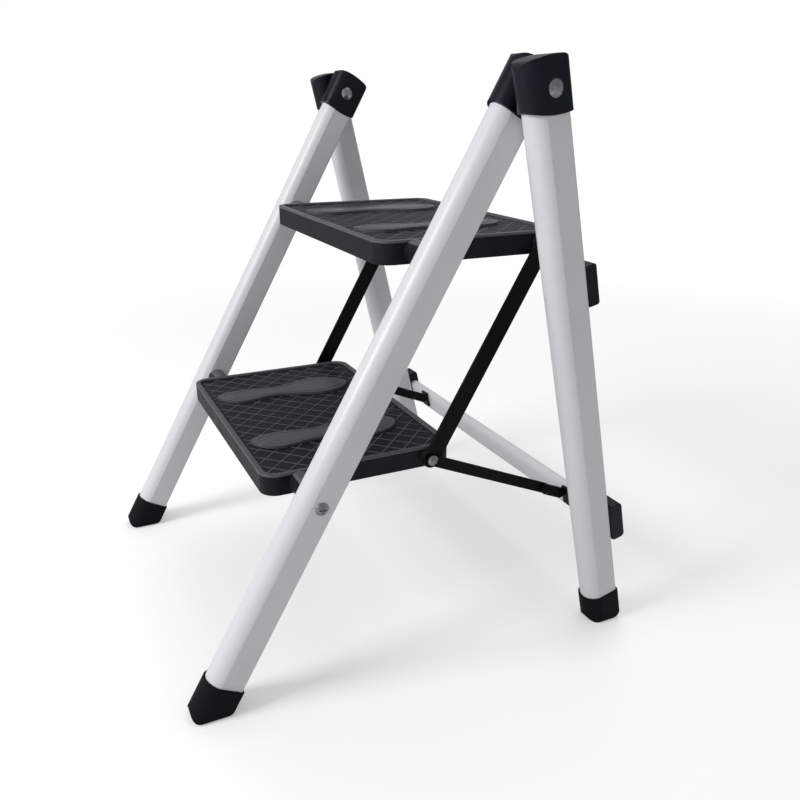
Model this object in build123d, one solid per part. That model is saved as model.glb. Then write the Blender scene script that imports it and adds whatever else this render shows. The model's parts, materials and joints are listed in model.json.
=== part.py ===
from build123d import *
import os
from math import cos, hypot, radians, sin, tan

os.makedirs("parts", exist_ok=True)

# Folding step stool, open: two front legs, two rear legs outside them, two treads between the front legs.
# X is the width, Y the depth with the front at -Y, Z is up, and the origin is on the floor, under the middle.

# Frame
step_rise = 225.0            # floor to lower tread, and lower tread to upper tread
meet_height = 578.5          # where the middle lines of a front leg and a rear leg meet, seen from the side
front_lean = 29.9            # degrees from upright
rear_lean = 13.3
hinge_rise = 6.0             # hinge above that meeting point
hinge_back = 3.0             # and behind it
clear_width = 402.0          # between the inner faces of the front legs
leg_gap = 5.0                # between a front leg and the rear leg beside it

# Leg tube: flat sides, flat back, crowned front
tube_width = 32.0
tube_side = 25.0
tube_crown = 12.5
tube_wall = 1.2
tube_corner = 3.0
tube_top = 25.0              # tube above the meeting point

# Fits
fit_clear = 0.1              # a plug, socket or pin that doesn't turn
run_clear = 0.08             # a pin that turns, on the radius
slide_clear = 0.3            # flat faces that pass each other

# Hinge caps
cap_side_wall = 1.5
cap_deep_wall = 3.5          # at the front and the back of the leg
cap_lid = 4.0
cap_skirt = 19.0             # cap below the meeting point
cap_arch = 3.0               # the skirt is longer in the middle than at its corners
cap_lift = 6.5               # the rear leg's skirt is shorter by this at its front
cap_dome = 3.0               # the lid is higher in the middle than at its corners
cap_round = 7.5              # upper corners, seen from the side
cap_hem = 3.0                # lower corners
cap_edge = 1.2
hinge_pin = 8.0
hinge_head = 15.0
hinge_head_rise = 3.2
hinge_washer = 26.0

# Feet
boot_wall = 2.2
boot_height = 39.0
boot_sole = 12.0             # rubber under the end of the tube
boot_round = 10.0            # toe and heel of the sole, seen from the side
boot_flank = 4.0             # rounding along the sides of the sole
boot_edge = 1.0              # rounding of the boot's top edge

# Treads
tread_room = 34.0            # between the side of a tread and the leg beside it
tread_depth = 218.0
tread_height = 24.0
tread_corner = 18.0
tread_wall = 3.0
tread_edge = 1.5             # rounding of both edges of the rim
wall_edge = 0.8              # rounding of the lower edge of the walls
rim_width = 6.0
rim_height = 3.0             # rim above the deck
deck_thickness = 3.5
rib_thickness = 2.0
rib_drop = 1.0               # ribs stop this far above the lower edge of the walls
rib_columns = 6
rib_rows = 3
pad_rise = 3.5
pad_edge = 1.0
pad_length = 172.0
pad_ball = 56.0              # width of a foot pad at the ball of the foot
pad_waist = 29.0
pad_heel = 40.0
pad_spacing = 156.0
pad_forward = 8.0            # middle of a foot pad in front of the middle of the tread
pivot_drop = 12.0            # pivots below the top of the rim
pivot_overhang = 38.5        # tread in front of its pivot
pivot_back = 4.0             # pivot behind the middle of the leg tube
axle_diameter = 10.0
axle_spigot = 8.0
axle_flare = 11.0
spigot_length = 5.0
spacer_diameter = 24.0       # sleeve on the axle, between a tread and a leg
spacer_edge = 0.8
pivot_washer = 22.0
washer_thickness = 1.6
screw_diameter = 6.0
screw_reach = 24.0           # screw inside the axle
screw_head = 14.0
screw_head_rise = 4.0
recess_length = 8.0
recess_width = 1.6
recess_depth = 2.0

# Link bars and brace bars
link_inset = 31.5            # rear pivot of a tread, in from its rear edge
link_width = 20.0
brace_width = 13.0
bar_thickness = 3.0
bar_edge = 0.5
link_stand = 7.0             # rear boss of a tread, which holds the link bar off its side
link_boss = 18.0
bar_pin = 6.0
bar_head = 12.0
bar_head_rise = 2.6
bar_tail = 10.0              # closed end of a link rivet, under the tread
brace_down = 443.0           # rear pivot of the brace, along the rear leg from the meeting point
brace_back = -6.0            # the same pivot behind the middle of the rear leg

# Rear crossbar
bar_down = 467.5             # middle of the crossbar, along the rear leg
bar_height = 30.0
bar_depth = 14.5
bar_corner = 6.0
saddle_wall = 1.5
saddle_roof = 14.5           # solid part of a saddle above the crossbar
saddle_length = 24.0
saddle_round = 5.0
saddle_edge = 1.2
ear_thickness = 4.0
ear_foot = 3.0               # thickness of the bracket's foot on the crossbar
ear_foot_width = 16.0
bolt_diameter = 6.0
bolt_head = 14.0
bolt_head_rise = 3.0
bolt_reach = 8.0             # bolt inside the leg tube

# Bumpers on the back of the rear legs
bumper_down = 178.0
bumper_height = 42.0
bumper_depth = 14.5
bumper_width = 26.0
bumper_round = 3.0
bumper_edge = 1.0
bumper_screw = 4.0
bumper_screw_head = 8.0
bumper_head_depth = 3.0
bumper_screw_reach = 6.0

# Worked out from the above
tube_depth = tube_side + tube_crown
front_mid = clear_width / 2 + tube_width / 2
front_outer = clear_width / 2 + tube_width
rear_inner = front_outer + leg_gap
rear_mid = rear_inner + tube_width / 2
rear_outer = rear_inner + tube_width
boot_half = tube_depth / 2 + boot_wall
front_sole_gain = boot_round * (1 / tan(radians(90 - front_lean) / 2) - 1)
rear_sole_gain = boot_round * (1 / tan(radians(90 - rear_lean) / 2) - 1)
front_reach = meet_height * tan(radians(front_lean)) + boot_half / cos(radians(front_lean)) - front_sole_gain
rear_reach = meet_height * tan(radians(rear_lean)) + boot_half / cos(radians(rear_lean)) - rear_sole_gain
meet = Vector(0, (front_reach - rear_reach) / 2, meet_height)
hinge = meet + Vector(0, hinge_back, hinge_rise)

# In a leg's frame X is the width, Y points to the leg's back and Z up along the leg, from the meeting point.
front_up = (0, sin(radians(front_lean)), cos(radians(front_lean)))
rear_up = (0, -sin(radians(rear_lean)), cos(radians(rear_lean)))
front_frame = Plane(origin=meet, x_dir=(1, 0, 0), z_dir=front_up)
rear_frame = Plane(origin=meet, x_dir=(1, 0, 0), z_dir=rear_up)

tread_width = clear_width - 2 * tread_room
tread_side = tread_width / 2
link_reach = tread_depth - pivot_overhang - link_inset
link_in = tread_side + link_stand + slide_clear
link_out = link_in + bar_thickness
brace_in = link_out + slide_clear
brace_out = brace_in + bar_thickness
ear_in = brace_out + slide_clear
ear_out = ear_in + ear_thickness
spacer_end = clear_width / 2 - washer_thickness - 2 * slide_clear


def step_pivot(number):
    # front pivot of the lower (1) or upper (2) tread, on the line of the front legs
    height = number * step_rise - pivot_drop
    lean = radians(front_lean)
    down = (meet_height - height - pivot_back * sin(lean)) / cos(lean)
    return front_frame.from_local_coords(Vector(0, pivot_back, -down))


def link_pivot(number):
    return step_pivot(number) + Vector(0, link_reach, 0)


brace_pivot = rear_frame.from_local_coords(Vector(0, brace_back, -brace_down))


# Shared shapes

def leg_outline(x_mid, side_grow, deep_grow, corner):
    half = tube_width / 2 + side_grow
    ridge = tube_crown - tube_depth / 2
    front = -tube_depth / 2 - deep_grow
    back = tube_depth / 2 + deep_grow
    crown = ThreePointArc((x_mid - half, ridge), (x_mid, front), (x_mid + half, ridge))
    sides = Polyline((x_mid + half, ridge), (x_mid + half, back), (x_mid - half, back), (x_mid - half, ridge))
    face = make_face(crown.edges() + sides.edges())
    return fillet(face.vertices().sort_by(Axis.Y)[-2:], corner)


def leg_prism(frame, face, low, high):
    return extrude(frame * Pos(0, 0, low) * face, amount=high - low, dir=frame.z_dir)


def side_plane(frame, x):
    # a plane square to X: its own x points to the leg's back, its own y up along the leg
    return Plane(origin=frame.origin + Vector(x, 0, 0), x_dir=frame.y_dir, z_dir=(1, 0, 0))


def pin_x(point, diameter, start, end):
    middle = Vector((start + end) / 2, point.Y, point.Z)
    return Plane(origin=middle, z_dir=(1, 0, 0)) * Cylinder(diameter / 2, abs(end - start))


def ring_x(point, outer, inner, start, end):
    return pin_x(point, outer, start, end) - pin_x(point, inner, start, end)


def dome(diameter, rise):
    ball = (diameter ** 2 / 4 + rise ** 2) / (2 * rise)
    block = Pos(0, 0, rise / 2) * Box(diameter, diameter, rise)
    return block & Pos(0, 0, rise - ball) * Sphere(ball)


def dome_x(point, diameter, rise, x, outward):
    return Plane(origin=(x, point.Y, point.Z), z_dir=(outward, 0, 0)) * dome(diameter, rise)


def round_ends(shape, axis, radius):
    # rounds the edges of both end faces of a prism that runs along the axis
    levels = shape.edges().group_by(axis)
    return fillet(levels[0] + levels[-1], radius)


def bar_blank(start, end, width, x_in, x_out):
    # a flat bar square to X, with half-round ends about two points
    reach = end - start
    length = hypot(reach.Y, reach.Z)
    plane = Plane(origin=(x_in, (start.Y + end.Y) / 2, (start.Z + end.Z) / 2), x_dir=reach, z_dir=(1, 0, 0))
    bar = extrude(plane * SlotCenterToCenter(length, width), amount=x_out - x_in)
    return round_ends(bar, Axis.X, bar_edge)


def flat_bar(start, end, width, x_in, x_out, hole):
    bar = bar_blank(start, end, width, x_in, x_out)
    for point in (start, end):
        bar -= pin_x(point, hole, x_in - bar_thickness, x_out + bar_thickness)
    return bar


def below(height):
    return Pos(0, 0, height - meet_height) * Box(4 * clear_width, 4 * meet_height, 2 * meet_height)


def save(shape, name):
    shape.label = name
    export_step(shape, f"parts/{name}.step")


def save_pair(shape, name):
    # the right-hand piece, and the left-hand one as its mirror image
    save(shape, f"{name}_right")
    save(mirror(shape, about=Plane.YZ), f"{name}_left")


def save_both(shape, name):
    # both sides in one group of separate solids
    save(Compound(children=[*shape.solids(), *mirror(shape, about=Plane.YZ).solids()]), name)


# Legs, caps and feet

def leg_tube(frame, x_mid, lean, bores):
    length = meet_height / cos(radians(lean)) + tube_depth
    outer = leg_outline(x_mid, 0, 0, tube_corner)
    inner = leg_outline(x_mid, -tube_wall, -tube_wall, tube_corner - tube_wall)
    tube = leg_prism(frame, outer - inner, -length, tube_top)
    tube -= below(boot_sole)
    for bore in bores:
        tube -= bore
    return tube


def hinge_cap(frame, x_mid, lift, bore):
    side = tube_width / 2 + cap_side_wall
    deep = tube_depth / 2 + cap_deep_wall
    top = tube_top + cap_lid
    shoulder = -cap_skirt + cap_arch
    skirt = ThreePointArc((-deep, shoulder + lift), (0, -cap_skirt + lift / 2), (deep, shoulder))
    back = Line((deep, shoulder), (deep, top))
    lid = ThreePointArc((deep, top), (0, top + cap_dome), (-deep, top))
    front = Line((-deep, top), (-deep, shoulder + lift))
    profile = make_face(skirt.edges() + back.edges() + lid.edges() + front.edges())
    profile = fillet(profile.vertices().sort_by(Axis.Y)[-2:], cap_round)
    profile = fillet(profile.vertices().sort_by(Axis.Y)[:2], cap_hem)
    slab = extrude(side_plane(frame, x_mid - side) * profile, amount=2 * side)
    slab = round_ends(slab, Axis.X, cap_edge)
    outside = leg_outline(x_mid, cap_side_wall, cap_deep_wall, tube_corner + cap_side_wall)
    pocket = leg_outline(x_mid, fit_clear, fit_clear, tube_corner + fit_clear)
    cap = slab & leg_prism(frame, outside, -2 * cap_skirt, 2 * top)
    cap -= leg_prism(frame, pocket, -2 * cap_skirt, tube_top + fit_clear)
    return cap - bore


def sole_block(frame, x_mid, floor):
    # a block that stands on the floor, with a rounded toe and heel, to shape the end of a boot
    half = tube_width / 2 + boot_wall
    middle = frame.from_local_coords(Vector(0, 0, floor)).Y
    reach = boot_half / frame.z_dir.Z
    rise = 2 * boot_height
    lean_back = rise * frame.z_dir.Y / frame.z_dir.Z
    low = [(middle - reach, 0), (middle + reach, 0)]
    high = [(middle + reach + lean_back, rise), (middle - reach + lean_back, rise)]
    profile = make_face(Polyline(*low, *high, close=True).edges())
    profile = fillet(profile.vertices().group_by(Axis.Y)[0], boot_round)
    plane = Plane(origin=(x_mid - half, 0, 0), x_dir=(0, 1, 0), z_dir=(1, 0, 0))
    return round_ends(extrude(plane * profile, amount=2 * half), Axis.X, boot_flank)


def foot_boot(frame, x_mid, lean):
    floor = -meet_height / cos(radians(lean))
    outside = leg_outline(x_mid, boot_wall, boot_wall, tube_corner + boot_wall)
    pocket = leg_outline(x_mid, fit_clear, fit_clear, tube_corner + fit_clear)
    boot = leg_prism(frame, outside, floor - tube_depth, floor + boot_height)
    boot = fillet(boot.edges().group_by(Axis(frame.origin, frame.z_dir))[-1], boot_edge)
    boot = boot & sole_block(frame, x_mid, floor)
    hollow = leg_prism(frame, pocket, floor - tube_depth, floor + 2 * boot_height)
    return boot - (hollow - below(boot_sole - fit_clear))


hinge_bore = pin_x(hinge, hinge_pin + 2 * fit_clear, 0, 2 * rear_outer)
hinge_turn = pin_x(hinge, hinge_pin + 2 * run_clear, 0, 2 * rear_outer)
screw_bore = pin_x(step_pivot(1), screw_diameter + 2 * fit_clear, 0, 2 * rear_outer)
spigot_bore = pin_x(step_pivot(2), axle_spigot + 2 * fit_clear, 0, front_mid)


def leg_bolt(down, diameter, start, end):
    # a pin square to the back of the right rear leg, measured back from the middle of the tube
    middle = rear_frame * Pos(rear_mid, (start + end) / 2, -down)
    return middle * Rot(90, 0, 0) * Cylinder(diameter / 2, end - start)


tube_back = tube_depth / 2
bolt_bore = leg_bolt(bar_down, bolt_diameter + 2 * fit_clear, 0, tube_depth)
bumper_bore = leg_bolt(bumper_down, bumper_screw + 2 * fit_clear, 0, tube_depth)

save_pair(leg_tube(front_frame, front_mid, front_lean, [hinge_bore, screw_bore, spigot_bore]), "front_leg")
save_pair(leg_tube(rear_frame, rear_mid, rear_lean, [hinge_turn, bolt_bore, bumper_bore]), "rear_leg")
save_pair(hinge_cap(front_frame, front_mid, 0, hinge_bore), "front_leg_cap")
save_pair(hinge_cap(rear_frame, rear_mid, cap_lift, hinge_turn), "rear_leg_cap")
save_pair(foot_boot(front_frame, front_mid, front_lean), "front_foot")
save_pair(foot_boot(rear_frame, rear_mid, rear_lean), "rear_foot")

# Hinge rivet through both legs, and the washer between their caps
rivet_start = clear_width / 2 - cap_side_wall - fit_clear
rivet_end = rear_outer + cap_side_wall + slide_clear
hinge_rivet = pin_x(hinge, hinge_pin, rivet_start, rivet_end)
hinge_rivet += dome_x(hinge, hinge_head, hinge_head_rise, rivet_start, -1)
hinge_rivet += dome_x(hinge, hinge_head, hinge_head_rise, rivet_end, 1)
save_both(hinge_rivet, "hinge_rivets")

washer_start = front_outer + cap_side_wall + fit_clear
washer_end = rear_inner - cap_side_wall - slide_clear
save_both(ring_x(hinge, hinge_washer, hinge_pin + 2 * fit_clear, washer_start, washer_end), "hinge_washers")


# Treads

def sole_pad(x_mid):
    # a raised shoe sole: heel at the front of the tread, then the waist, the ball and the toes
    half = pad_length / 2
    heel = (pad_heel / 2, -0.72 * half)
    waist = (pad_waist / 2, -0.16 * half)
    ball = (pad_ball / 2, 0.44 * half)
    toes = (0.3 * pad_ball, 0.9 * half)
    right = [heel, waist, ball, toes]
    left = [(-x, y) for x, y in reversed(right)]
    edge = Spline([(0, -half), *right, (0, half), *left], periodic=True)
    pad = extrude(make_face(edge.edges()), amount=pad_rise)
    pad = fillet(pad.edges().group_by(Axis.Z)[-1], pad_edge)
    return Pos(x_mid, -pad_forward, 0) * pad


def tread(number):
    pivot = step_pivot(number)
    middle = pivot.Y - pivot_overhang + tread_depth / 2
    low = pivot.Z + pivot_drop - tread_height
    deck_top = tread_height - rim_height
    deck_low = deck_top - deck_thickness
    place = Pos(0, middle, low)
    body = extrude(RectangleRounded(tread_width, tread_depth, tread_corner), amount=tread_height)
    inner_corner = tread_corner - rim_width
    well = RectangleRounded(tread_width - 2 * rim_width, tread_depth - 2 * rim_width, inner_corner)
    body -= Pos(0, 0, deck_top) * extrude(well, amount=tread_height)
    levels = body.edges().group_by(Axis.Z)
    body = fillet(levels[-1], tread_edge)
    body = fillet(body.edges().group_by(Axis.Z)[0], wall_edge)
    hollow_width = tread_width - 2 * tread_wall
    hollow_depth = tread_depth - 2 * tread_wall
    hollow = extrude(RectangleRounded(hollow_width, hollow_depth, tread_corner - tread_wall), amount=deck_low)
    rib_height = deck_low - rib_drop
    rib_level = rib_drop + rib_height / 2
    for column in range(1, rib_columns + 1):
        x = hollow_width * (column / (rib_columns + 1) - 0.5)
        hollow -= Pos(x, 0, rib_level) * Box(rib_thickness, tread_depth, rib_height)
    for row in range(1, rib_rows + 1):
        y = hollow_depth * (row / (rib_rows + 1) - 0.5)
        hollow -= Pos(0, y, rib_level) * Box(tread_width, rib_thickness, rib_height)
    body -= hollow
    for x_mid in (-pad_spacing / 2, pad_spacing / 2):
        body += Pos(0, 0, deck_top) * sole_pad(x_mid)
    body = place * body
    rear = link_pivot(number)
    for side in (-1, 1):
        body += pin_x(rear, link_boss, side * (tread_side - tread_wall), side * (tread_side + link_stand))
        body -= pin_x(rear, bar_pin + 2 * fit_clear, side * tread_side / 2, side * link_out)
    return body - pin_x(pivot, axle_diameter + 2 * run_clear, -clear_width / 2, clear_width / 2)


save(tread(1), "lower_tread")
save(tread(2), "upper_tread")

# Tread axles: the lower one is screwed on from outside the legs, the upper one is flared inside the tubes
inside = clear_width / 2 - fit_clear
screw_socket = screw_reach + fit_clear
lower_axle = pin_x(step_pivot(1), axle_diameter, -inside, inside)
for side in (-1, 1):
    socket_end = side * (inside - screw_socket)
    lower_axle -= pin_x(step_pivot(1), screw_diameter + 2 * fit_clear, side * inside, socket_end)
save(lower_axle, "lower_tread_axle")

upper_axle = pin_x(step_pivot(2), axle_diameter, -inside, inside)
flare_start = clear_width / 2 + tube_wall + fit_clear
spigot_end = clear_width / 2 + spigot_length
for side in (-1, 1):
    upper_axle += pin_x(step_pivot(2), axle_spigot, side * inside, side * spigot_end)
    upper_axle += pin_x(step_pivot(2), axle_flare, side * flare_start, side * spigot_end)
save(upper_axle, "upper_tread_axle")

# Screw with a domed head and a cross recess
screw_pivot = step_pivot(1)
screw_base = front_outer + fit_clear
axle_screw = pin_x(screw_pivot, screw_diameter, inside - screw_reach, screw_base)
axle_screw += dome_x(screw_pivot, screw_head, screw_head_rise, screw_base, 1)
recess = Pos(screw_base + screw_head_rise, screw_pivot.Y, screw_pivot.Z)
axle_screw -= recess * Box(2 * recess_depth, recess_length, recess_width)
axle_screw -= recess * Box(2 * recess_depth, recess_width, recess_length)
save_both(axle_screw, "lower_axle_screws")

# Spacer sleeves that turn with the treads, and the washers between them and the legs
washer_in = spacer_end + slide_clear
washer_out = washer_in + washer_thickness
spacer_start = tread_side + fit_clear
spacer_bore = axle_diameter + 2 * run_clear
for number, name in ((1, "lower"), (2, "upper")):
    spacer = pin_x(step_pivot(number), spacer_diameter, spacer_start, spacer_end)
    spacer = round_ends(spacer, Axis.X, spacer_edge)
    spacer -= pin_x(step_pivot(number), spacer_bore, 0, clear_width)
    save_both(spacer, f"{name}_tread_spacers")
    washer = ring_x(step_pivot(number), pivot_washer, axle_diameter + 2 * fit_clear, washer_in, washer_out)
    save_both(washer, f"{name}_pivot_washers")

# Link bars from tread to tread, with a rivet at each end
link_bar = flat_bar(link_pivot(1), link_pivot(2), link_width, link_in, link_out, bar_pin + 2 * run_clear)
save_pair(link_bar, "link_bar")
rivet_root = tread_side - tread_wall - fit_clear
for number, name in ((1, "lower"), (2, "upper")):
    rivet = pin_x(link_pivot(number), bar_pin, rivet_root, link_out)
    rivet += dome_x(link_pivot(number), bar_tail, bar_head_rise, rivet_root, -1)
    if number == 2:
        rivet += pin_x(link_pivot(number), bar_pin, link_out, link_out + slide_clear)
        rivet += dome_x(link_pivot(number), bar_head, bar_head_rise, link_out + slide_clear, 1)
    save_both(rivet, f"{name}_link_rivets")

# Brace bars from the lower tread's rear pivot to the crossbar
brace_bar = flat_bar(link_pivot(1), brace_pivot, brace_width, brace_in, brace_out, bar_pin + 2 * run_clear)
save_pair(brace_bar, "brace_bar")
front_rivet = pin_x(link_pivot(1), bar_pin, brace_in, brace_out + fit_clear)
front_rivet += dome_x(link_pivot(1), bar_head, bar_head_rise, brace_out + fit_clear, 1)
save_both(front_rivet, "brace_front_rivets")
rear_rivet = pin_x(brace_pivot, bar_pin, brace_in - slide_clear, ear_out + fit_clear)
rear_rivet += dome_x(brace_pivot, bar_head, bar_head_rise, brace_in - slide_clear, -1)
rear_rivet += dome_x(brace_pivot, bar_head, bar_head_rise, ear_out + fit_clear, 1)
save_both(rear_rivet, "brace_rear_rivets")

# Rear crossbar on plastic saddles, the brackets for the braces, and the bolts into the legs
saddle_front = tube_back + fit_clear
bar_front = saddle_front + saddle_wall + fit_clear
bar_mid = bar_front + bar_depth / 2
bar_back = bar_front + bar_depth
saddle_back = bar_back + fit_clear + saddle_wall
saddle_end = rear_outer
bar_end = saddle_end - saddle_wall - fit_clear


def cross_prism(down, depth, height, corner, start, end):
    # a rounded bar across the stool, in line with the crossbar behind the rear legs
    section = Pos(bar_mid, -down) * RectangleRounded(depth, height, corner)
    return extrude(side_plane(rear_frame, start) * section, amount=end - start)


through_bolt = leg_bolt(bar_down, bolt_diameter + 2 * fit_clear, tube_back, saddle_back + tube_depth)
bore_depth = bar_depth - 2 * tube_wall
bore_height = bar_height - 2 * tube_wall
crossbar = cross_prism(bar_down, bar_depth, bar_height, bar_corner, -bar_end, bar_end)
crossbar -= cross_prism(bar_down, bore_depth, bore_height, bar_corner - tube_wall, -bar_end, bar_end)
crossbar -= through_bolt
crossbar -= mirror(through_bolt, about=Plane.YZ)
save(crossbar, "rear_crossbar")

hole_depth = bar_depth + 2 * fit_clear
hole_height = bar_height + 2 * fit_clear
saddle_depth = saddle_back - saddle_front
saddle_height = saddle_roof + hole_height + saddle_wall
saddle_down = bar_down + (saddle_wall - saddle_roof) / 2
saddle_start = saddle_end - saddle_length
saddle = cross_prism(saddle_down, saddle_depth, saddle_height, saddle_round, saddle_start, saddle_end)
saddle = round_ends(saddle, Axis.X, saddle_edge)
hole_corner = bar_corner + fit_clear
saddle -= cross_prism(bar_down, hole_depth, hole_height, hole_corner, saddle_start, bar_end + fit_clear)
saddle -= through_bolt
save_pair(saddle, "crossbar_saddle")


def bolt_dome(down, back, diameter, rise):
    return rear_frame * Pos(rear_mid, back, -down) * Rot(-90, 0, 0) * dome(diameter, rise)


bolt_seat = saddle_back + fit_clear
crossbar_bolt = leg_bolt(bar_down, bolt_diameter, tube_back - tube_wall - bolt_reach, bolt_seat)
crossbar_bolt += bolt_dome(bar_down, bolt_seat, bolt_head, bolt_head_rise)
save_both(crossbar_bolt, "crossbar_bolts")


def brace_bracket():
    # an ear in line with the brace, on a foot that is welded to the front of the crossbar
    brace = rear_frame.to_local_coords(brace_pivot) - rear_frame.to_local_coords(link_pivot(1))
    foot_back = bar_front - fit_clear
    ear_back = foot_back - (ear_foot + brace_width) / 2
    ear_down = brace_down - (ear_back - brace_back) * brace.Z / brace.Y
    ear_root = rear_frame.from_local_coords(Vector(0, ear_back, -ear_down))
    bracket = bar_blank(brace_pivot, ear_root, brace_width, ear_in, ear_out)
    foot_height = bar_down - ear_down + brace_width
    foot_mid = Pos(ear_in + ear_foot_width / 2, foot_back - ear_foot / 2, -(ear_down + bar_down) / 2)
    bracket += rear_frame * foot_mid * Box(ear_foot_width, ear_foot, foot_height)
    return bracket - pin_x(brace_pivot, bar_pin + 2 * fit_clear, 0, 2 * ear_out)


save_pair(brace_bracket(), "brace_bracket")


head_seat = tube_back + fit_clear + bumper_depth - bumper_head_depth


def bumper():
    middle = Pos(rear_mid, tube_back + fit_clear + bumper_depth / 2, -bumper_down)
    block = Box(bumper_width, bumper_depth, bumper_height)
    block = fillet(block.edges().filter_by(Axis.X), bumper_round)
    block = round_ends(block, Axis.X, bumper_edge)
    block = rear_frame * middle * block
    block -= leg_bolt(bumper_down, bumper_screw + 2 * fit_clear, 0, tube_depth)
    head_bore = bumper_screw_head + 2 * fit_clear
    return block - leg_bolt(bumper_down, head_bore, head_seat - fit_clear, head_seat + tube_depth)


save_pair(bumper(), "rear_bumper")
bumper_fixing = leg_bolt(bumper_down, bumper_screw, tube_back - tube_wall - bumper_screw_reach, head_seat)
bumper_fixing += leg_bolt(bumper_down, bumper_screw_head, head_seat, head_seat + bumper_head_depth / 2)
save_both(bumper_fixing, "bumper_screws")

print("hinge", hinge, "lower pivot", step_pivot(1), "upper pivot", step_pivot(2))
print("lower link pivot", link_pivot(1), "brace pivot", brace_pivot)
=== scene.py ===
import json
import math
import bpy
from mathutils import Matrix, Vector
from mathutils.bvhtree import BVHTree


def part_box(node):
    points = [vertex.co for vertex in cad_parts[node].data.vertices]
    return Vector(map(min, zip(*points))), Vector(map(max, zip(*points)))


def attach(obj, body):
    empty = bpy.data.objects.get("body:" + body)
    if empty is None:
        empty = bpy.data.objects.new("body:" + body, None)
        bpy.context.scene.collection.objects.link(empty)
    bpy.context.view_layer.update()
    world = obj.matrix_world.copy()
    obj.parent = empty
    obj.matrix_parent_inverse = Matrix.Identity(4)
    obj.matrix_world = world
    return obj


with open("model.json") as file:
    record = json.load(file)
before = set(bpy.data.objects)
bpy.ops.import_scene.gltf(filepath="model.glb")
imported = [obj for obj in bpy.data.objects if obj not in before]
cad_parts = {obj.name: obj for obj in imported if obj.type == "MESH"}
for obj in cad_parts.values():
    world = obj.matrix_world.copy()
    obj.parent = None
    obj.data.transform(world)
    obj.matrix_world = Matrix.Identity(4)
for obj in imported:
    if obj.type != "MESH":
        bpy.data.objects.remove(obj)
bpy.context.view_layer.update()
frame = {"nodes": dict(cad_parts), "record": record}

stool = frame["nodes"]


# small helpers for node trees

def addNode(tree, kind, **settings):
    node = tree.nodes.new(kind)
    for name, value in settings.items():
        setattr(node, name, value)
    return node


def setInputs(node, **values):
    for name, value in values.items():
        node.inputs[name.replace("_", " ")].default_value = value
    return node


def objectPlace(tree):
    return addNode(tree, "ShaderNodeTexCoord").outputs["Object"]


def noiseNode(tree, place, **values):
    noise = setInputs(addNode(tree, "ShaderNodeTexNoise"), **values)
    tree.links.new(place, noise.inputs["Vector"])
    return noise


def mathNode(tree, operation, first, second, clamp=False):
    node = addNode(tree, "ShaderNodeMath", operation=operation, use_clamp=clamp)
    for socket, value in zip(node.inputs, (first, second)):
        if isinstance(value, bpy.types.NodeSocket):
            tree.links.new(value, socket)
        else:
            socket.default_value = value
    return node.outputs[0]


def mapRange(tree, value, low, high, toLow=0.0, toHigh=1.0):
    node = addNode(tree, "ShaderNodeMapRange", interpolation_type="SMOOTHSTEP")
    tree.links.new(value, node.inputs["Value"])
    setInputs(node, From_Min=low, From_Max=high, To_Min=toLow, To_Max=toHigh)
    return node.outputs["Result"]


def blend(tree, share, atNone, atFull):
    return mapRange(tree, share, 0.0, 1.0, atNone, atFull)


def colourSocket(sockets, name):
    return next(socket for socket in sockets if socket.name == name and socket.type == "RGBA")


def mixColours(tree, amount, first, second):
    node = addNode(tree, "ShaderNodeMix", data_type="RGBA")
    tree.links.new(amount, node.inputs["Factor"])
    for name, value in (("A", first), ("B", second)):
        socket = colourSocket(node.inputs, name)
        if isinstance(value, bpy.types.NodeSocket):
            tree.links.new(value, socket)
        else:
            socket.default_value = (*value, 1)
    return colourSocket(node.outputs, "Result")


def newGroup(name, inputs, outputs):
    group = bpy.data.node_groups.new(name, "ShaderNodeTree")
    for socketName, value in inputs.items():
        socket = group.interface.new_socket(socketName, in_out="INPUT", socket_type="NodeSocketFloat")
        socket.default_value = value
    for socketName in outputs:
        group.interface.new_socket(socketName, in_out="OUTPUT", socket_type="NodeSocketFloat")
    return group, addNode(group, "NodeGroupInput").outputs, addNode(group, "NodeGroupOutput").inputs


def placeGroup(tree, group, **values):
    node = addNode(tree, "ShaderNodeGroup", node_tree=group)
    return setInputs(node, **values)


# moulded grain: pits with fine specks in them, and cloudy patches

grainLook = {"perMetre": 900.0, "smooth": 0.6, "pitHeight": 0.8,
             "finer": 2.3, "speckDetail": 3.0, "speckRough": 0.6, "speckHeight": 0.5,
             "clouds": 34.0, "cloudDetail": 4.0, "cloudRough": 0.55, "cloudRange": (0.3, 0.7)}


def mouldGrainGroup(look):
    inputs = {"Grains Per Metre": look["perMetre"]}
    group, given, result = newGroup("mouldGrain", inputs, ["Height", "Mottle"])
    place = objectPlace(group)
    density = given["Grains Per Metre"]
    cells = addNode(group, "ShaderNodeTexVoronoi", feature="SMOOTH_F1")
    setInputs(cells, Smoothness=look["smooth"])
    group.links.new(place, cells.inputs["Vector"])
    group.links.new(density, cells.inputs["Scale"])
    specks = noiseNode(group, place, Detail=look["speckDetail"], Roughness=look["speckRough"])
    group.links.new(mathNode(group, "MULTIPLY", density, look["finer"]), specks.inputs["Scale"])
    clouds = noiseNode(group, place, Scale=look["clouds"], Detail=look["cloudDetail"],
                       Roughness=look["cloudRough"])
    pits = mathNode(group, "MULTIPLY", cells.outputs["Distance"], look["pitHeight"])
    fine = mathNode(group, "MULTIPLY", specks.outputs["Fac"], look["speckHeight"])
    group.links.new(mathNode(group, "ADD", pits, fine), result["Height"])
    group.links.new(mapRange(group, clouds.outputs["Fac"], *look["cloudRange"]), result["Mottle"])
    return group


# sprayed skin: soft ripples with powder grain on them, and slow drifts of shade

skinLook = {"perMetre": 420.0, "rippleDetail": 1.5, "rippleRough": 0.4,
            "powder": 2600.0, "powderDetail": 2.0, "powderHeight": 0.22,
            "drifts": 9.0, "driftDetail": 3.0, "driftRange": (0.3, 0.7)}


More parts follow.
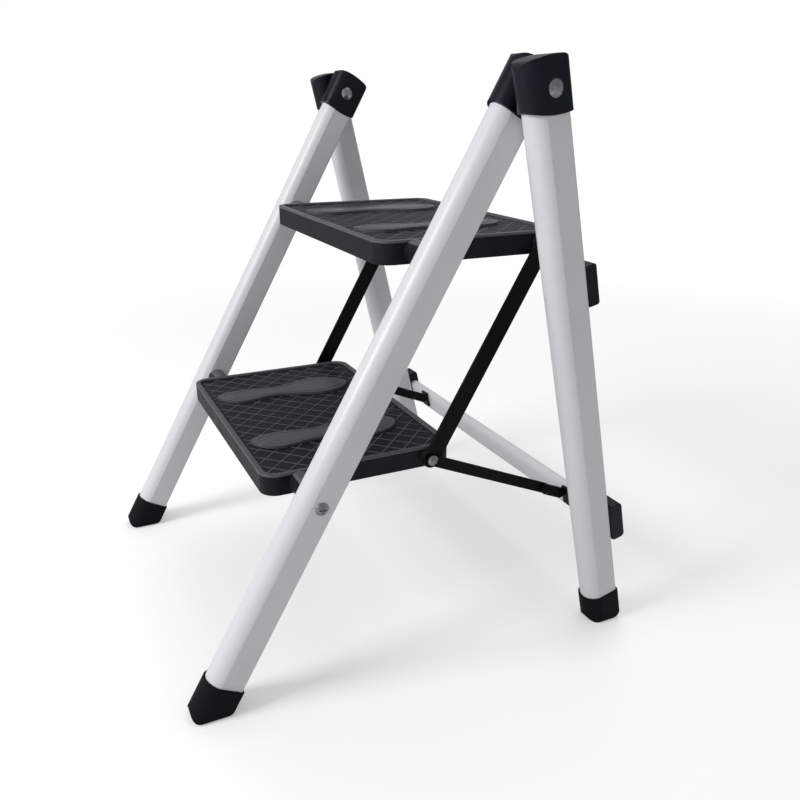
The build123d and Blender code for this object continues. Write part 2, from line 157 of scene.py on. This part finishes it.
def sprayedSkinGroup(look):
    inputs = {"Ripples Per Metre": look["perMetre"]}
    group, given, result = newGroup("sprayedSkin", inputs, ["Height", "Drift"])
    place = objectPlace(group)
    ripples = noiseNode(group, place, Detail=look["rippleDetail"], Roughness=look["rippleRough"])
    group.links.new(given["Ripples Per Metre"], ripples.inputs["Scale"])
    powder = noiseNode(group, place, Scale=look["powder"], Detail=look["powderDetail"])
    drifts = noiseNode(group, place, Scale=look["drifts"], Detail=look["driftDetail"])
    fine = mathNode(group, "MULTIPLY", powder.outputs["Fac"], look["powderHeight"])
    group.links.new(mathNode(group, "ADD", ripples.outputs["Fac"], fine), result["Height"])
    group.links.new(mapRange(group, drifts.outputs["Fac"], *look["driftRange"]), result["Drift"])
    return group


# handling scuffs: long thin streaks, in patches

scuffLook = {"cover": 0.3, "perMetre": 60.0, "turn": (0.5, 0.35, 0.2), "stretch": (1.0, 1.0, 0.12),
             "streakDetail": 5.0, "streakRough": 0.7, "streakRange": (0.62, 0.70),
             "patches": 11.0, "patchDetail": 2.0, "patchRange": (0.54, 0.70)}


def scuffGroup(look):
    inputs = {"Cover": look["cover"], "Streaks Per Metre": look["perMetre"]}
    group, given, result = newGroup("handlingScuffs", inputs, ["Mask"])
    place = objectPlace(group)
    drawn = setInputs(addNode(group, "ShaderNodeMapping"), Rotation=look["turn"], Scale=look["stretch"])
    group.links.new(place, drawn.inputs["Vector"])
    streaks = noiseNode(group, drawn.outputs["Vector"], Detail=look["streakDetail"],
                        Roughness=look["streakRough"])
    group.links.new(given["Streaks Per Metre"], streaks.inputs["Scale"])
    patches = noiseNode(group, place, Scale=look["patches"], Detail=look["patchDetail"])
    lines = mapRange(group, streaks.outputs["Fac"], *look["streakRange"])
    where = mapRange(group, patches.outputs["Fac"], *look["patchRange"])
    both = mathNode(group, "MULTIPLY", lines, where)
    group.links.new(mathNode(group, "MULTIPLY", both, given["Cover"], clamp=True), result["Mask"])
    return group


mouldGrain = mouldGrainGroup(grainLook)
sprayedSkin = sprayedSkinGroup(skinLook)
handlingScuffs = scuffGroup(scuffLook)
print("shared effects made: mould grain, sprayed skin, handling scuffs")


# what every finish starts and ends with

def newFinish(name, metallic, specular):
    material = bpy.data.materials.new(name)
    material.use_nodes = True
    shader = material.node_tree.nodes["Principled BSDF"]
    setInputs(shader, Metallic=metallic, Specular_IOR_Level=specular)
    return material, material.node_tree, shader


def addBump(tree, shader, height, depth):
    bump = setInputs(addNode(tree, "ShaderNodeBump"), Strength=1.0, Distance=depth)
    tree.links.new(height, bump.inputs["Height"])
    tree.links.new(bump.outputs["Normal"], shader.inputs["Normal"])


# paint on the legs, the crossbar and the flat bars

whitePaint = {"colour": (0.76, 0.76, 0.80), "shade": (0.72, 0.72, 0.765), "scuff": (0.46, 0.46, 0.47),
              "cover": 0.12, "streaks": 170.0, "scuffRough": 0.25, "gloss": (0.28, 0.38), "specular": 0.4,
              "ripples": 420.0, "depth": 0.00004}
blackPaint = {"colour": (0.0025, 0.003, 0.0035), "shade": (0.005, 0.0055, 0.006), "scuff": (0.04, 0.04, 0.04),
              "cover": 0.25, "streaks": 120.0, "scuffRough": 0.25, "gloss": (0.34, 0.46), "specular": 0.11,
              "ripples": 520.0, "depth": 0.00004}


def paintFinish(name, paint):
    material, tree, shader = newFinish(name, 0.0, paint["specular"])
    skin = placeGroup(tree, sprayedSkin, Ripples_Per_Metre=paint["ripples"])
    scuffs = placeGroup(tree, handlingScuffs, Cover=paint["cover"], Streaks_Per_Metre=paint["streaks"])
    coat = mixColours(tree, skin.outputs["Drift"], paint["colour"], paint["shade"])
    worn = mixColours(tree, scuffs.outputs["Mask"], coat, paint["scuff"])
    tree.links.new(worn, shader.inputs["Base Color"])
    even = blend(tree, skin.outputs["Drift"], *paint["gloss"])
    rubbed = mathNode(tree, "MULTIPLY", scuffs.outputs["Mask"], paint["scuffRough"])
    tree.links.new(mathNode(tree, "ADD", even, rubbed), shader.inputs["Roughness"])
    addBump(tree, shader, skin.outputs["Height"], paint["depth"])
    return material


# moulded plastic of the caps, saddles and bumpers, rubber of the feet, nylon of the washers

capPlastic = {"colour": (0.003, 0.006, 0.011), "shade": (0.005, 0.009, 0.016), "scuff": (0.03, 0.035, 0.042),
              "cover": 0.3, "streaks": 90.0, "gloss": (0.25, 0.34), "specular": 0.20,
              "grains": 1100.0, "depth": 0.00006}
footRubber = {"colour": (0.003, 0.0045, 0.006), "shade": (0.006, 0.008, 0.010), "scuff": (0.05, 0.05, 0.05),
              "cover": 0.4, "streaks": 90.0, "gloss": (0.50, 0.62), "specular": 0.09,
              "grains": 700.0, "depth": 0.00010}
washerNylon = {"colour": (0.72, 0.71, 0.66), "shade": (0.64, 0.63, 0.58), "scuff": (0.40, 0.39, 0.37),
               "cover": 0.3, "streaks": 90.0, "gloss": (0.38, 0.50), "specular": 0.5,
               "grains": 1300.0, "depth": 0.00003}


def mouldedFinish(name, mould):
    material, tree, shader = newFinish(name, 0.0, mould["specular"])
    grain = placeGroup(tree, mouldGrain, Grains_Per_Metre=mould["grains"])
    scuffs = placeGroup(tree, handlingScuffs, Cover=mould["cover"], Streaks_Per_Metre=mould["streaks"])
    body = mixColours(tree, grain.outputs["Mottle"], mould["colour"], mould["shade"])
    worn = mixColours(tree, scuffs.outputs["Mask"], body, mould["scuff"])
    tree.links.new(worn, shader.inputs["Base Color"])
    rough = blend(tree, grain.outputs["Mottle"], *mould["gloss"])
    tree.links.new(rough, shader.inputs["Roughness"])
    addBump(tree, shader, grain.outputs["Height"], mould["depth"])
    return material


# plastic of the treads: grained deck, smoother foot pads and rim; the rim, pads and ridge tops are lighter,
# partly from wear and partly as painted highlight

# the lighter colours of the rim, pads and ridge tops are partly wear and partly painted highlight
treadPlastic = {"colour": (0.005, 0.007, 0.0105), "shade": (0.010, 0.0125, 0.017),
                "polishAndSheen": (0.078, 0.086, 0.098), "ridge": (0.115, 0.118, 0.122),
                "scuff": (0.10, 0.10, 0.105), "cover": 0.3, "streaks": 80.0,
                "deckRough": 0.46, "polishedRough": 0.24, "mottleRough": 0.08,
                "specular": 0.17, "grains": 800.0, "depth": 0.00010, "polishedGrain": 0.05,
                "stepRise": 0.225, "base": 0.190, "polishAndSheenRange": (0.0333, 0.0345),
                "ridgeRange": (0.03212, 0.03238)}  # heights in metres, the two ranges above the base


def treadFinish(name, tread):
    material, tree, shader = newFinish(name, 0.0, tread["specular"])
    place = addNode(tree, "ShaderNodeSeparateXYZ")
    tree.links.new(objectPlace(tree), place.inputs["Vector"])
    height = mathNode(tree, "SUBTRACT", place.outputs["Z"], tread["base"])
    raised = mathNode(tree, "MODULO", height, tread["stepRise"])  # the same for both treads
    # painted highlight: rim and pads get a lighter colour, partly polish wear and partly a painted highlight
    polishAndSheen = mapRange(tree, raised, *tread["polishAndSheenRange"])  # only rim and pads reach so high
    # painted highlight: the tops of the hatch ridges get a lighter colour, partly wear and partly a painted
    # highlight
    ridge = mapRange(tree, raised, *tread["ridgeRange"])  # tops of the hatch ridges
    grain = placeGroup(tree, mouldGrain, Grains_Per_Metre=tread["grains"])
    scuffs = placeGroup(tree, handlingScuffs, Cover=tread["cover"], Streaks_Per_Metre=tread["streaks"])
    body = mixColours(tree, grain.outputs["Mottle"], tread["colour"], tread["shade"])
    hatched = mixColours(tree, ridge, body, tread["ridge"])
    # the lighter rim and pad colour mixed in here is partly wear and partly painted highlight
    troddenAndSheen = mixColours(tree, polishAndSheen, hatched, tread["polishAndSheen"])
    worn = mixColours(tree, scuffs.outputs["Mask"], troddenAndSheen, tread["scuff"])
    tree.links.new(worn, shader.inputs["Base Color"])
    even = blend(tree, polishAndSheen, tread["deckRough"], tread["polishedRough"])
    mottled = mathNode(tree, "MULTIPLY", grain.outputs["Mottle"], tread["mottleRough"])
    tree.links.new(mathNode(tree, "ADD", even, mottled), shader.inputs["Roughness"])
    flatten = blend(tree, polishAndSheen, 1.0, tread["polishedGrain"])
    addBump(tree, shader, mathNode(tree, "MULTIPLY", grain.outputs["Height"], flatten), tread["depth"])
    return material


# zinc on the rivets, screws, bolts and axles

zincSteel = {"colour": (0.38, 0.39, 0.40), "shade": (0.24, 0.25, 0.26), "scuff": (0.30, 0.30, 0.30),
             "cover": 0.6, "streaks": 240.0, "gloss": (0.30, 0.46), "specular": 0.5,
             "spangles": 260.0, "grains": 1800.0, "depth": 0.00002}


def zincFinish(name, zinc):
    material, tree, shader = newFinish(name, 1.0, zinc["specular"])
    grain = placeGroup(tree, mouldGrain, Grains_Per_Metre=zinc["grains"])
    scuffs = placeGroup(tree, handlingScuffs, Cover=zinc["cover"], Streaks_Per_Metre=zinc["streaks"])
    spangle = setInputs(addNode(tree, "ShaderNodeTexVoronoi"), Scale=zinc["spangles"])
    tree.links.new(objectPlace(tree), spangle.inputs["Vector"])
    tone = addNode(tree, "ShaderNodeSeparateColor")
    tree.links.new(spangle.outputs["Color"], tone.inputs["Color"])
    plating = mixColours(tree, tone.outputs["Red"], zinc["colour"], zinc["shade"])
    dulled = mixColours(tree, scuffs.outputs["Mask"], plating, zinc["scuff"])
    tree.links.new(dulled, shader.inputs["Base Color"])
    rough = blend(tree, tone.outputs["Red"], *zinc["gloss"])
    tree.links.new(rough, shader.inputs["Roughness"])
    addBump(tree, shader, grain.outputs["Height"], zinc["depth"])
    return material


finishes = {
    "white_paint": paintFinish("white leg paint", whitePaint),
    "black_paint": paintFinish("black bar paint", blackPaint),
    "cap_plastic": mouldedFinish("black cap plastic", capPlastic),
    "foot_rubber": mouldedFinish("foot rubber", footRubber),
    "washer_nylon": mouldedFinish("washer nylon", washerNylon),
    "tread_plastic": treadFinish("tread plastic", treadPlastic),
    "zinc_steel": zincFinish("zinc plating", zincSteel),
}

for part in frame["record"]["subparts"]:
    piece = stool[part["node"]]
    if not piece.material_slots:
        piece.data.materials.append(None)
    for materialSlot in piece.material_slots:
        materialSlot.material = finishes[part["material_slot"]]


# cross-hatch ridges on the decks, which stop short of the rim and the foot pads, and a ridge loop on each pad

deckHatch = {"pitch": 0.0185, "turn": 45.0, "radius": 0.0011, "sides": 12, "sink": 0.0006,
             "clear": 0.0022, "step": 0.001, "shortest": 0.005, "padNarrow": 0.76, "padShort": 0.93,
             "lookFrom": 0.1, "deckSlack": 0.0002, "padSlack": 0.00002, "padDigits": 5}  # metres and degrees


def ridgeTree(hatch):
    tree = bpy.data.node_groups.new("deckRidges", "GeometryNodeTree")
    tree.interface.new_socket("Geometry", in_out="INPUT", socket_type="NodeSocketGeometry")
    for socketName in ("Ridge Radius", "Ridge Sink"):
        tree.interface.new_socket(socketName, in_out="INPUT", socket_type="NodeSocketFloat")
    tree.interface.new_socket("Finish", in_out="INPUT", socket_type="NodeSocketMaterial")
    tree.interface.new_socket("Geometry", in_out="OUTPUT", socket_type="NodeSocketGeometry")
    given = addNode(tree, "NodeGroupInput").outputs
    result = addNode(tree, "NodeGroupOutput").inputs
    curve = addNode(tree, "GeometryNodeMeshToCurve")
    profile = setInputs(addNode(tree, "GeometryNodeCurvePrimitiveCircle"), Resolution=hatch["sides"])
    sweep = setInputs(addNode(tree, "GeometryNodeCurveToMesh"), Fill_Caps=True)
    down = addNode(tree, "ShaderNodeCombineXYZ")
    lower = addNode(tree, "GeometryNodeSetPosition")
    realize = addNode(tree, "GeometryNodeRealizeInstances")
    finish = addNode(tree, "GeometryNodeSetMaterial")
    tree.links.new(given["Geometry"], curve.inputs["Mesh"])
    tree.links.new(given["Ridge Radius"], profile.inputs["Radius"])
    tree.links.new(curve.outputs["Curve"], sweep.inputs["Curve"])
    tree.links.new(profile.outputs["Curve"], sweep.inputs["Profile Curve"])
    tree.links.new(mathNode(tree, "MULTIPLY", given["Ridge Sink"], -1.0), down.inputs["Z"])
    tree.links.new(sweep.outputs["Mesh"], lower.inputs["Geometry"])
    tree.links.new(down.outputs["Vector"], lower.inputs["Offset"])
    tree.links.new(lower.outputs["Geometry"], realize.inputs["Geometry"])
    tree.links.new(realize.outputs["Geometry"], finish.inputs["Geometry"])
    tree.links.new(given["Finish"], finish.inputs["Material"])
    tree.links.new(finish.outputs["Geometry"], result["Geometry"])
    return tree


def lookDown(surface, spot, height):
    return surface.ray_cast(Vector((spot.x, spot.y, height)), Vector((0, 0, -1)))[0]


def hatchRuns(node, hatch):
    low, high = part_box(node)
    middle = (low + high) / 2
    above = high.z + hatch["lookFrom"]
    surface = BVHTree.FromObject(stool[node], bpy.context.evaluated_depsgraph_get())
    deckHeight = lookDown(surface, middle, above).z
    reach = (high - low).length / 2
    lineCount = int(reach / hatch["pitch"])
    stopCount = int(reach / hatch["step"])
    runs = []
    for side in (-1, 1):
        turn = math.radians(side * hatch["turn"])
        along = Vector((math.cos(turn), math.sin(turn), 0))
        across = Vector((-math.sin(turn), math.cos(turn), 0))
        for line in range(-lineCount, lineCount + 1):
            run = []
            for stop in range(-stopCount, stopCount + 1):
                spot = middle + across * line * hatch["pitch"] + along * stop * hatch["step"]
                hit = lookDown(surface, spot, above)
                if hit is not None and abs(hit.z - deckHeight) < hatch["deckSlack"]:
                    run.append(Vector((spot.x, spot.y, deckHeight)))
                    continue
                if run and (run[-1] - run[0]).length > hatch["shortest"] + 2 * hatch["clear"]:
                    runs.append((run[0] + along * hatch["clear"], run[-1] - along * hatch["clear"]))
                run = []
    return runs


def padLoops(node, hatch):
    low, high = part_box(node)
    shrink = Vector((hatch["padNarrow"], hatch["padShort"], 1))
    digits = hatch["padDigits"]
    loops = []
    for side in (-1, 1):
        top = {}
        for corner in stool[node].data.vertices:
            spot = stool[node].matrix_world @ corner.co
            if spot.x * side > 0 and high.z - spot.z < hatch["padSlack"]:
                top[round(spot.x, digits), round(spot.y, digits)] = spot  # the edge of the pad's flat top
        xs = [key[0] for key in top]
        ys = [key[1] for key in top]
        middle = Vector(((min(xs) + max(xs)) / 2, (min(ys) + max(ys)) / 2, high.z))
        inner = [middle + (spot - middle) * shrink for spot in top.values()]
        loops.append(sorted(inner, key=lambda spot: math.atan2(spot.y - middle.y, spot.x - middle.x)))
    return loops


def deckRidges(name, node, body, hatch, hatchTree):
    runs = hatchRuns(node, hatch)
    spots = [end for run in runs for end in run]
    edges = [(2 * i, 2 * i + 1) for i in range(len(runs))]
    for loop in padLoops(node, hatch):
        first = len(spots)
        edges += [(first + i, first + (i + 1) % len(loop)) for i in range(len(loop))]
        spots += loop
    lines = bpy.data.meshes.new(name + "Lines")
    lines.from_pydata(spots, edges, [])
    sketch = bpy.data.objects.new(name + "Sketch", lines)
    bpy.context.scene.collection.objects.link(sketch)
    sweep = sketch.modifiers.new("ridges", "NODES")
    sweep.node_group = hatchTree
    inputs = [socket for socket in hatchTree.interface.items_tree if socket.in_out == "INPUT"]
    sockets = {socket.name: socket.identifier for socket in inputs}
    sweep[sockets["Ridge Radius"]] = hatch["radius"]
    sweep[sockets["Ridge Sink"]] = hatch["sink"]
    sweep[sockets["Finish"]] = finishes["tread_plastic"]
    bpy.context.view_layer.update()
    swept = bpy.data.meshes.new_from_object(sketch.evaluated_get(bpy.context.evaluated_depsgraph_get()))
    swept.shade_smooth()
    ridges = bpy.data.objects.new(name, swept)
    bpy.context.scene.collection.objects.link(ridges)
    bpy.data.objects.remove(sketch)
    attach(ridges, body)
    print(name, "swept,", len(runs), "ridges,", len(swept.polygons), "faces")


hatchTree = ridgeTree(deckHatch)
deckRidges("lower_deck_ridges", "lower_tread", "lower_step", deckHatch, hatchTree)
deckRidges("upper_deck_ridges", "upper_tread", "upper_step", deckHatch, hatchTree)


# camera, set where the photo's camera was: metres, degrees, and millimetres for lens and sensor

photoCamera = {"place": (0.85728, -0.32392, 0.56983), "azimuth": 63.927, "down": 23.088, "roll": 0.415,
               "lens": 34.797, "sensor": 36.0, "shift": (-0.0087, 0.0445), "clip": (0.01, 60.0)}


def setCamera(view):
    camera = bpy.data.objects.new("photo camera", bpy.data.cameras.new("photo camera"))
    bpy.context.scene.collection.objects.link(camera)
    aim = Matrix.Rotation(math.radians(view["azimuth"]), 4, "Z")
    tilt = Matrix.Rotation(math.radians(90.0 - view["down"]), 4, "X")
    roll = Matrix.Rotation(math.radians(view["roll"]), 4, "Z")
    camera.matrix_world = Matrix.Translation(view["place"]) @ aim @ tilt @ roll
    camera.data.sensor_width = view["sensor"]
    camera.data.lens = view["lens"]
    camera.data.shift_x, camera.data.shift_y = view["shift"]
    camera.data.clip_start, camera.data.clip_end = view["clip"]
    bpy.context.scene.camera = camera


# floor, sky and lamps: the glow and the white sky are there for the camera alone, so that the shadow stays

studio = {"floorSize": 30.0, "floorColour": (0.80, 0.80, 0.80), "white": (1.0, 1.0, 1.0),
          "glowRadius": (0.8, 3.6), "glow": (0.34, 0.76), "skyLight": 0.38, "skySeen": 1.0}
lampAim = (0.0, 0.0, 0.32)  # the middle of the stool
lamps = [
    {"name": "key", "place": (0.1, -2.6, 1.9), "size": 1.3, "watts": 56.0},
    {"name": "top", "place": (-0.6, 0.9, 2.4), "size": 1.6, "watts": 14.0},
]


def cameraSees(tree):
    return addNode(tree, "ShaderNodeLightPath").outputs["Is Camera Ray"]


def setFloor(values):
    half = values["floorSize"] / 2
    corners = [(-half, -half, 0), (half, -half, 0), (half, half, 0), (-half, half, 0)]
    mesh = bpy.data.meshes.new("studio floor")
    mesh.from_pydata(corners, [], [(0, 1, 2, 3)])
    floor = bpy.data.objects.new("studio floor", mesh)
    bpy.context.scene.collection.objects.link(floor)
    material, tree, shader = newFinish("floor paper", 0.0, 0.0)
    setInputs(shader, Base_Color=(*values["floorColour"], 1), Roughness=1.0,
              Emission_Color=(*values["white"], 1))
    away = addNode(tree, "ShaderNodeVectorMath", operation="LENGTH")
    tree.links.new(objectPlace(tree), away.inputs[0])
    glow = mapRange(tree, away.outputs["Value"], *values["glowRadius"], *values["glow"])
    tree.links.new(mathNode(tree, "MULTIPLY", cameraSees(tree), glow), shader.inputs["Emission Strength"])
    mesh.materials.append(material)


def setSky(values):
    world = bpy.data.worlds.new("studio")
    world.use_nodes = True
    tree = world.node_tree
    lit = setInputs(tree.nodes["Background"], Color=(*values["white"], 1), Strength=values["skyLight"])
    seen = addNode(tree, "ShaderNodeBackground")
    setInputs(seen, Color=(*values["white"], 1), Strength=values["skySeen"])
    either = addNode(tree, "ShaderNodeMixShader")
    tree.links.new(cameraSees(tree), either.inputs["Fac"])
    tree.links.new(lit.outputs["Background"], either.inputs[1])
    tree.links.new(seen.outputs["Background"], either.inputs[2])
    tree.links.new(either.outputs["Shader"], tree.nodes["World Output"].inputs["Surface"])
    bpy.context.scene.world = world


def setLamp(lamp, aim):
    light = bpy.data.lights.new(lamp["name"], "AREA")
    light.shape = "DISK"
    light.size = lamp["size"]
    light.energy = lamp["watts"]
    holder = bpy.data.objects.new(lamp["name"], light)
    bpy.context.scene.collection.objects.link(holder)
    holder.location = lamp["place"]
    toStool = Vector(aim) - holder.location
    holder.rotation_euler = toStool.to_track_quat("-Z", "Y").to_euler()


setCamera(photoCamera)
setFloor(studio)
setSky(studio)
for lamp in lamps:
    setLamp(lamp, lampAim)
bpy.context.scene.view_settings.view_transform = "Standard"
print("camera, floor and light set")
